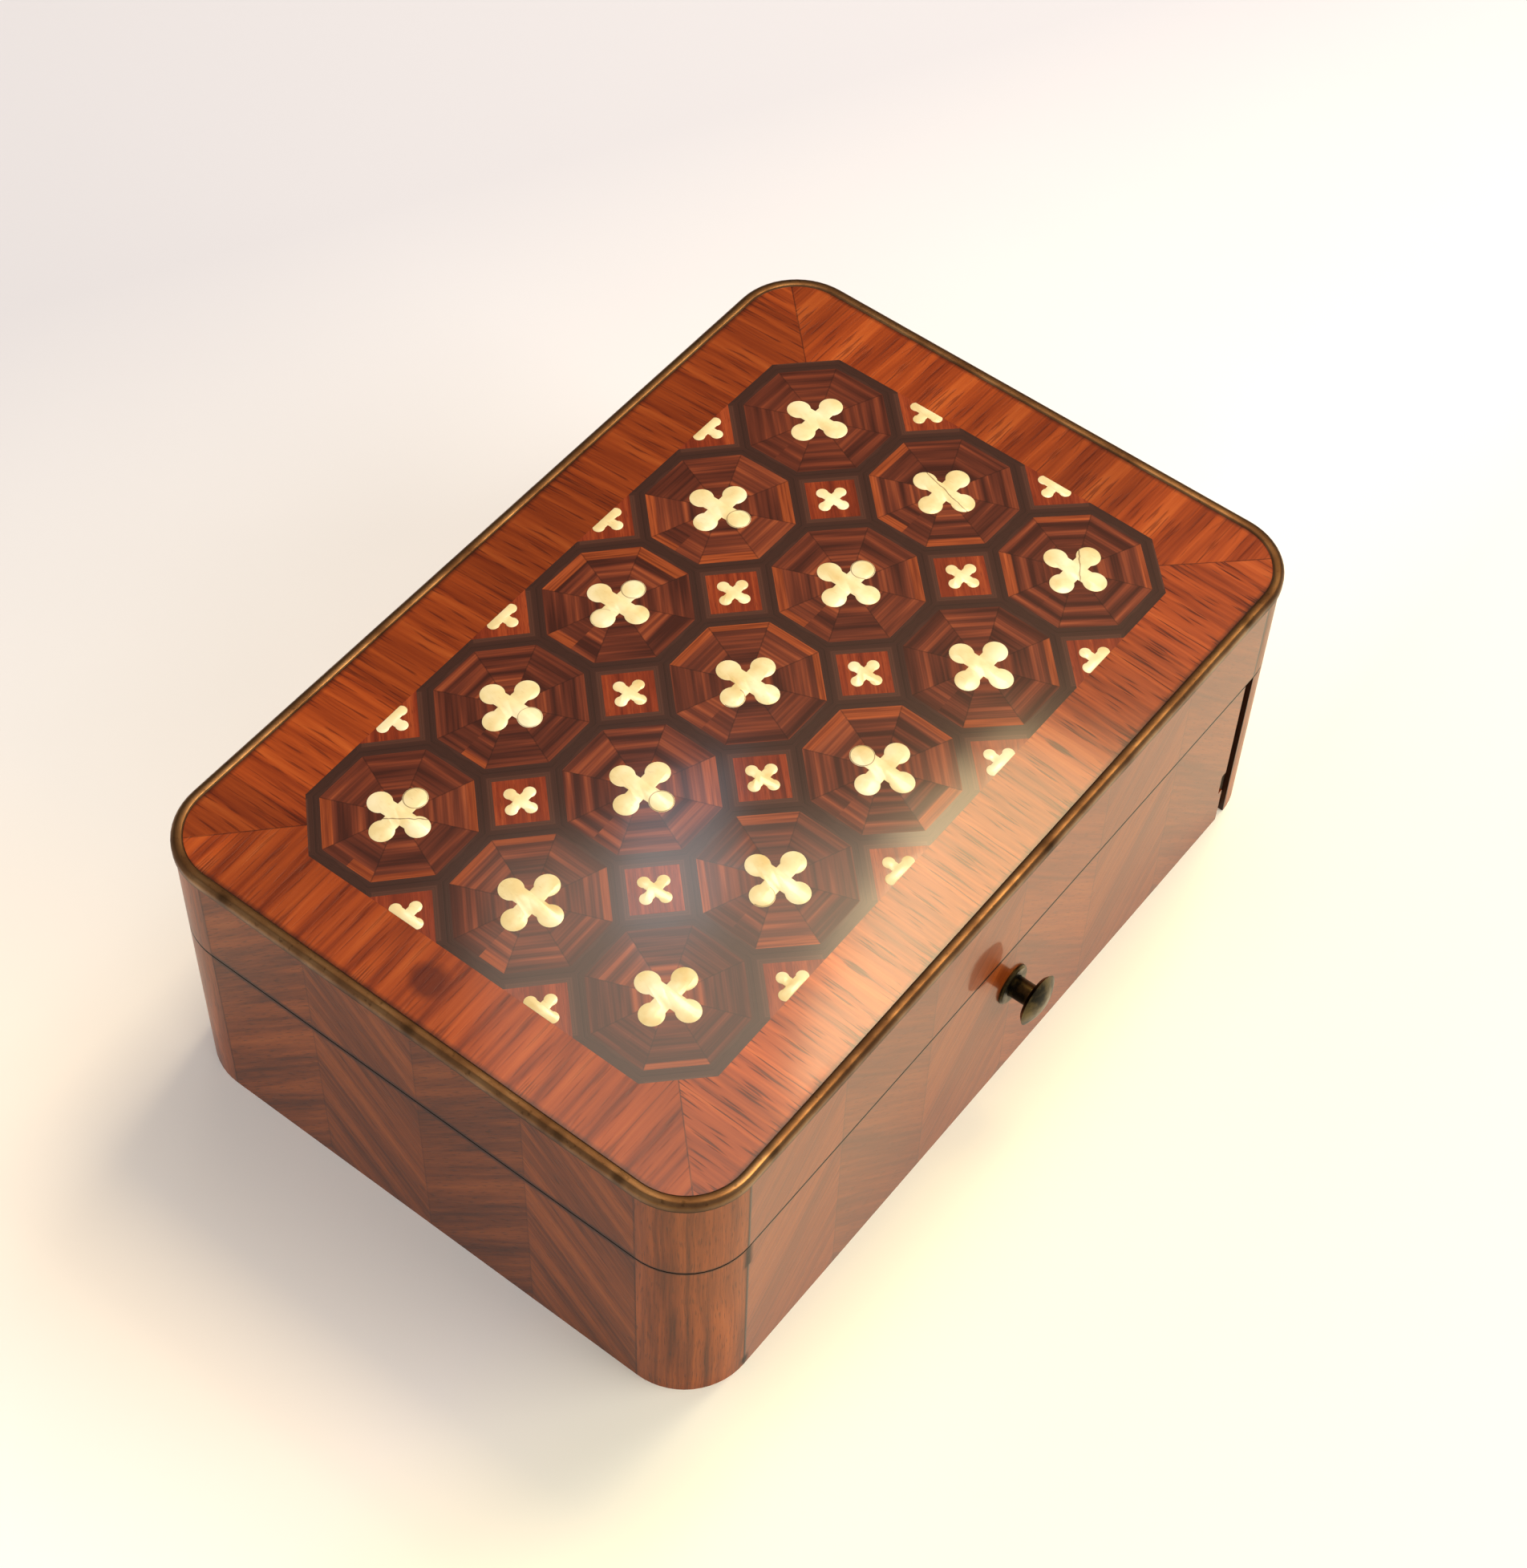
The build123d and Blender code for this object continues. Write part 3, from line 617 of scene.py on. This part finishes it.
def join_rows(builder, rows, closed=False):
    """Faces between rows of points that each go round in a ring."""
    following = rows[1:] + rows[:1] if closed else rows[1:]
    count = len(rows[0])
    for lower, upper in zip(rows, following):
        for i in range(count):
            j = (i + 1) % count
            builder.faces.new((lower[i], lower[j], upper[j], upper[i]))


def quatrefoil_outline(lobe, reach, arm, steps=20):
    """Four round lobes joined by a cross, as points going round it."""
    opening = math.pi - math.asin(arm / 2 / lobe)
    points = []
    for quarter in range(4):
        turn = Matrix.Rotation(quarter * math.pi / 2, 2)
        for step in range(steps + 1):
            angle = -opening + 2 * opening * step / steps
            points.append(turn @ Vector((reach + lobe * math.cos(angle), lobe * math.sin(angle))))
        points.append(turn @ Vector((arm / 2, arm / 2)))
    return points


def drawn_in(points, distance):
    """An outline moved inward by a small distance."""
    moved = []
    for i, point in enumerate(points):
        along = (points[(i + 1) % len(points)] - points[i - 1]).normalized()
        moved.append(point + distance * Vector((-along.y, along.x)))
    return moved


def add_inlay(builder, outline, middle):
    """An inlaid piece with a softly rounded upper edge, following the crowned top."""
    soft = BONE_ROUNDING
    rings = (
        (outline, -VENEER / 2),
        (outline, BONE_PROUD - soft),
        (drawn_in(outline, soft * 0.3), BONE_PROUD - soft * 0.3),
        (drawn_in(outline, soft), BONE_PROUD),
    )
    rows = []
    for points, lift in rings:
        placed = [point + middle for point in points]
        rows.append([builder.verts.new((p.x, p.y, crown(p.x, p.y) + lift)) for p in placed])
    join_rows(builder, rows)
    builder.faces.new(rows[-1])
    builder.faces.new(rows[0][::-1])


def large_places():
    """Middles of the large quatrefoils."""
    xs = [PITCH * (i - (COLUMNS - 1) / 2) for i in range(COLUMNS)]
    ys = [PITCH * (j - (ROWS - 1) / 2) for j in range(ROWS)]
    return [Vector((x, y)) for x in xs for y in ys]


def small_places():
    """Middles of the small quatrefoils: whole ones inside the field, and halves on its edge."""
    inside = []
    border = []
    for i in range(COLUMNS + 1):
        for j in range(ROWS + 1):
            place = Vector((PITCH * (i - COLUMNS / 2), PITCH * (j - ROWS / 2)))
            at_end = i in (0, COLUMNS)
            at_side = j in (0, ROWS)
            if not at_end and not at_side:
                inside.append(place)
            elif at_end != at_side:
                border.append(place)
    return inside, border


def cut_to_field(outline, middle):
    """The part of an outline round a place that lies inside the field."""
    kept = outline
    for axis, reach in ((0, FIELD_HIGH.x), (1, FIELD_HIGH.y)):
        for side in (1, -1):
            points = kept
            kept = []
            for i, point in enumerate(points):
                room_before = reach - side * (points[i - 1] + middle)[axis]
                room = reach - side * (point + middle)[axis]
                if (room > 0) != (room_before > 0):
                    kept.append(points[i - 1].lerp(point, room_before / (room_before - room)))
                if room > 0:
                    kept.append(point)
    return kept


def make_bone():
    """The bone quatrefoils, whole ones and those cut in half by the field's edge."""
    cracked = bone("bone_large", LARGE_REACH)
    plain = bone("bone_small")
    large = quatrefoil_outline(LARGE_LOBE, LARGE_REACH, LARGE_ARM)
    small = quatrefoil_outline(SMALL_LOBE, SMALL_REACH, SMALL_ARM, 14)
    inside, border = small_places()
    sets = (
        ("large_bone", large, large_places(), cracked, "large_quatrefoils"),
        ("small_bone", small, inside, plain, "small_quatrefoils"),
        ("border_bone", small, border, plain, "border_half_quatrefoils"),
    )
    for name, outline, places, material, replaced in sets:
        builder = bmesh.new()
        for place in places:
            add_inlay(builder, cut_to_field(outline, place), place)
        new_piece(name, builder, material, "lid", replaced)


def rounded_rectangle(inset, steps=14):
    """The box's outline drawn in by inset, as points going round it."""
    radius = CORNER_RADIUS - inset
    points = []
    for quarter, (sx, sy) in enumerate(((1, 1), (-1, 1), (-1, -1), (1, -1))):
        middle = Vector((sx * (HALF_X - CORNER_RADIUS), sy * (HALF_Y - CORNER_RADIUS)))
        for step in range(steps + 1):
            angle = (quarter + step / steps) * math.pi / 2
            points.append(middle + radius * Vector((math.cos(angle), math.sin(angle))))
    return points


def make_bead():
    """The brass moulding round the top, rounded outside and eased at its inner edge."""
    outer = BEAD_HIGH.x - HALF_X
    inner = BEAD_INSET
    foot, top = BEAD_LOW.z, BEAD_HIGH.z
    soft = BEAD_ROUNDING
    profile = [(inner, foot), (-outer, foot)]
    steps = 6
    for step in range(steps + 1):
        angle = step / steps * math.pi / 2
        profile.append((soft - outer - soft * math.cos(angle), top - soft + soft * math.sin(angle)))
    profile += [(inner - 0.00025, top), (inner - 0.00007, top - 0.00007), (inner, top - 0.00025)]
    builder = bmesh.new()
    rows = []
    for inset, height in profile:
        rows.append([builder.verts.new((p.x, p.y, height)) for p in rounded_rectangle(inset)])
    join_rows(builder, rows, closed=True)
    marks = [(x, -HALF_Y) for x in (-0.048, 0.004, 0.047)]
    marks += [(-HALF_X, y) for y in (0.028, 0.0, -0.0216, -0.030)]
    new_piece("brass_bead", builder, bead_brass("bead_brass", marks), "lid", "edge_bead")


def make_button_head(material):
    """The push button's domed head, turned about its axis, with a small bevel behind its rim."""
    radius = HEAD_HIGH.x
    middle_z = (HEAD_LOW.z + HEAD_HIGH.z) / 2
    dome = HEAD_HIGH.y - HEAD_LOW.y - HEAD_LIP
    sphere = (radius ** 2 + dome ** 2) / (2 * dome)
    rim_angle = math.asin(radius / sphere)
    profile = []
    steps = 12
    for step in range(1, steps + 1):
        angle = rim_angle * step / steps
        profile.append((sphere * math.sin(angle), HEAD_LOW.y + sphere * (1 - math.cos(angle))))
    profile.append((radius - HEAD_LIP, HEAD_HIGH.y))
    turns = [2 * math.pi * i / HEAD_SIDES for i in range(HEAD_SIDES)]
    builder = bmesh.new()
    rows = []
    for reach, y in profile:
        points = [(reach * math.cos(turn), y, middle_z + reach * math.sin(turn)) for turn in turns]
        rows.append([builder.verts.new(point) for point in points])
    join_rows(builder, rows)
    builder.faces.new(rows[0])
    builder.faces.new(rows[-1])
    new_piece("button_dome", builder, material, "button", "button_head")


def floor_material():
    """White paper, with painted shade making it greyer behind the box, painted warm light beside and
    before it, and a little brighter when seen.
    """
    graph = Graph("floor_paper")
    speck = graph.noise(graph.place, detail=2.0, scale=30.0)
    colour = graph.ramp(speck, (0.3, (0.90, 0.888, 0.872, 1)), (0.7, (0.93, 0.918, 0.902, 1)))
    distance = graph.length(graph.x, graph.y)
    # Painted shade: the paper greys and cools with distance behind the box.
    behind = graph.map(graph.plus(graph.times(graph.x, 0.55), graph.y), 0.0, 0.16)
    behind = graph.times(behind, graph.map(distance, 0.35, 0.9, 1.0, 0.0))
    colour = graph.mix(behind, colour, (0.57, 0.57, 0.63, 1))
    # Painted light: warm bounce light in the box's shadow to its left.
    beside = graph.near(graph.plus(graph.x, 0.085), 0.022, 0.85)
    beside = graph.times(beside, graph.map(graph.y, 0.05, 0.14, 1.0, 0.0))
    colour = graph.mix(beside, colour, (0.95, 0.88, 0.80, 1))
    # Painted light: warm yellow lamp light on the paper just in front of the box.
    before = graph.map(graph.y, -0.015, -0.045)
    before = graph.times(before, graph.map(graph.y, -0.22, -0.08, 0.3, 1.0))
    colour = graph.mix(before, colour, (0.96, 0.93, 0.72, 1))
    path = graph.tree.nodes.new("ShaderNodeLightPath").outputs
    through = graph.larger(path["Is Glossy Ray"], path["Is Transmission Ray"])
    seen = graph.larger(path["Is Camera Ray"], through)
    glow = graph.map(distance, 0.3, 1.2, 0.09, 0.40)
    graph.set(Emission_Color=srgb(250, 250, 250), Emission_Strength=graph.times(seen, glow))
    return graph.set(Base_Color=colour, Roughness=0.6, Specular_IOR_Level=0.3)


def make_floor():
    """A wide sheet of paper under the box, which isn't part of it."""
    bpy.ops.mesh.primitive_plane_add(size=4.0, location=(0, 0, 0))
    floor = bpy.context.object
    floor.name = "floor"
    floor.data.materials.append(floor_material())


def make_camera():
    """The camera that sees the box as the photograph does."""
    data = bpy.data.cameras.new("camera")
    data.sensor_fit = "AUTO"
    data.sensor_width = SENSOR
    data.lens = FOCAL_PIXELS / max(PHOTO_WIDTH, PHOTO_HEIGHT) * SENSOR
    data.clip_start = 0.01
    data.clip_end = 20.0
    camera = bpy.data.objects.new("camera", data)
    bpy.context.collection.objects.link(camera)
    place = Vector(CAMERA_PLACE)
    facing = (Vector(CAMERA_TARGET) - place).to_track_quat("-Z", "Y").to_matrix().to_4x4()
    roll = Matrix.Rotation(math.radians(-CAMERA_ROLL), 4, "Z")
    camera.matrix_world = Matrix.Translation(place) @ facing @ roll
    bpy.context.scene.camera = camera


def area_light(name, place, size, power, colour, mirrored):
    """A soft lamp over the box; mirrored says whether polish and brass reflect it."""
    data = bpy.data.lights.new(name, "AREA")
    data.shape = "RECTANGLE"
    data.size, data.size_y = size
    data.energy = power
    data.color = colour
    light = bpy.data.objects.new(name, data)
    bpy.context.collection.objects.link(light)
    light.location = place
    light.rotation_euler = (-Vector(place)).to_track_quat("-Z", "Y").to_euler()
    light.visible_glossy = mirrored


def make_world(light, dark_patch, dark_heading, white=0.93):
    """An even soft room, dim in one direction, which the camera sees as white."""
    world = bpy.data.worlds.new("soft_room")
    world.use_nodes = True
    tree = world.node_tree
    background = tree.nodes["Background"]
    heading = tree.nodes.new("ShaderNodeTexCoord").outputs["Generated"]
    dot = tree.nodes.new("ShaderNodeVectorMath")
    dot.operation = "DOT_PRODUCT"
    dot.inputs[1].default_value = Vector(dark_heading).normalized()
    tree.links.new(heading, dot.inputs[0])
    patch = tree.nodes.new("ShaderNodeMapRange")
    edge, core = 0.55, 0.95
    for socket, value in zip(list(patch.inputs)[1:5], (edge, core, light, dark_patch)):
        socket.default_value = value
    tree.links.new(dot.outputs["Value"], patch.inputs[0])
    path = tree.nodes.new("ShaderNodeLightPath").outputs
    seen = tree.nodes.new("ShaderNodeMix")
    tree.links.new(path["Is Camera Ray"], seen.inputs[0])
    tree.links.new(patch.outputs[0], seen.inputs[2])
    seen.inputs[3].default_value = white
    tree.links.new(seen.outputs[0], background.inputs["Strength"])
    background.inputs["Color"].default_value = (1.0, 0.965, 0.925, 1.0)
    bpy.context.scene.world = world


def dress_nodes():
    """Give every CAD node its surface."""
    long_veneer = side_veneer(
        "side_veneer_long", True, FRONT_HIGH.x, LONG_SIDE_LEAVES, PAINTED_LIGHT_ROSEWOOD, coat=0.42
    )
    short_veneer = side_veneer(
        "side_veneer_short", False, SIDE_HIGH.y, SHORT_SIDE_LEAVES, ROSEWOOD, coat=0.08
    )
    corners = corner_veneer("corner_veneer")
    board_x = bare_wood("board_along_x", True)
    board_y = bare_wood("board_along_y", False)
    for tray in ("base", "lid"):
        dress(long_veneer, tray + "_front_veneer", tray + "_back_veneer")
        dress(short_veneer, tray + "_left_veneer", tray + "_right_veneer")
        dress(corners, tray + "_corner_veneers")
        dress(board_x, tray + "_front_board", tray + "_back_board", tray + "_corner_blocks")
        dress(board_y, tray + "_left_board", tray + "_right_board")
    dress(board_x, "bottom_board", "lid_top_board")
    dress(core_in_painted_shade("board_behind_open_joint"), "base_front_board")
    # For each border: along X, width of a leaf, seed, darkness of the pores, light (a painted shade
    # factor, darkest on the back border), stain
    short_leaf = 0.6 * PITCH
    borders = {
        "crossbanding_front": (True, PITCH, 1.0, 0.9, 1.0, None),
        "crossbanding_back": (True, PITCH, 2.0, 0.6, 0.74, None),
        "crossbanding_left": (False, short_leaf, 3.0, 0.35, 0.92, STAIN_PLACE),
        "crossbanding_right": (False, short_leaf, 4.0, 0.5, 0.9, None),
    }
    for name, settings in borders.items():
        dress(crossbanding(name, *settings), name)
    dress(octagon_wedges("octagon_wood"), "octagon_wedges")
    dress(lattice("banding_wood"), "banding_lattice")
    dress(small_tiles("square_wood"), "square_tiles", "border_triangles")
    button_brass = metal("button_brass", srgb(24, 22, 16), srgb(88, 74, 44), 0.30)
    dress(button_brass, "button_collar", "button_stem")
    make_button_head(button_brass)
    hinge_brass = metal("hinge_brass", srgb(150, 114, 62), srgb(190, 150, 86), 0.32)
    dress(
        hinge_brass, "base_hinge_leaves", "lid_hinge_leaves", "hinge_pins", "base_hinge_screws",
        "lid_hinge_screws", "catch_foot", "catch_blade", "catch_screws", "keeper", "keeper_screws",
    )


make_camera()
make_floor()
dress_nodes()
make_bone()
make_bead()
make_world(light=0.68, dark_patch=0.06, dark_heading=(0.60, 0.45, 0.66))
area_light("key", (0.85, -0.05, 0.85), (0.60, 0.60), 5.7, LAMP_WHITE, False)
area_light("fill", (0.45, -1.00, 0.50), (0.9, 0.9), 9.0, LAMP_WHITE, False)
area_light("sheen", (0.435, 0.012, 0.925), (0.30, 0.30), 3.9, (1.0, 0.76, 0.42), True)
area_light("haze", (0.29, 0.20, 0.94), (0.36, 0.32), 0.92, (1.0, 0.84, 0.66), True)
area_light("window", (0.384, 0.325, 0.891), (0.08, 0.12), 0.08, (0.72, 0.86, 1.0), True)
bpy.context.scene.view_settings.view_transform = "Standard"
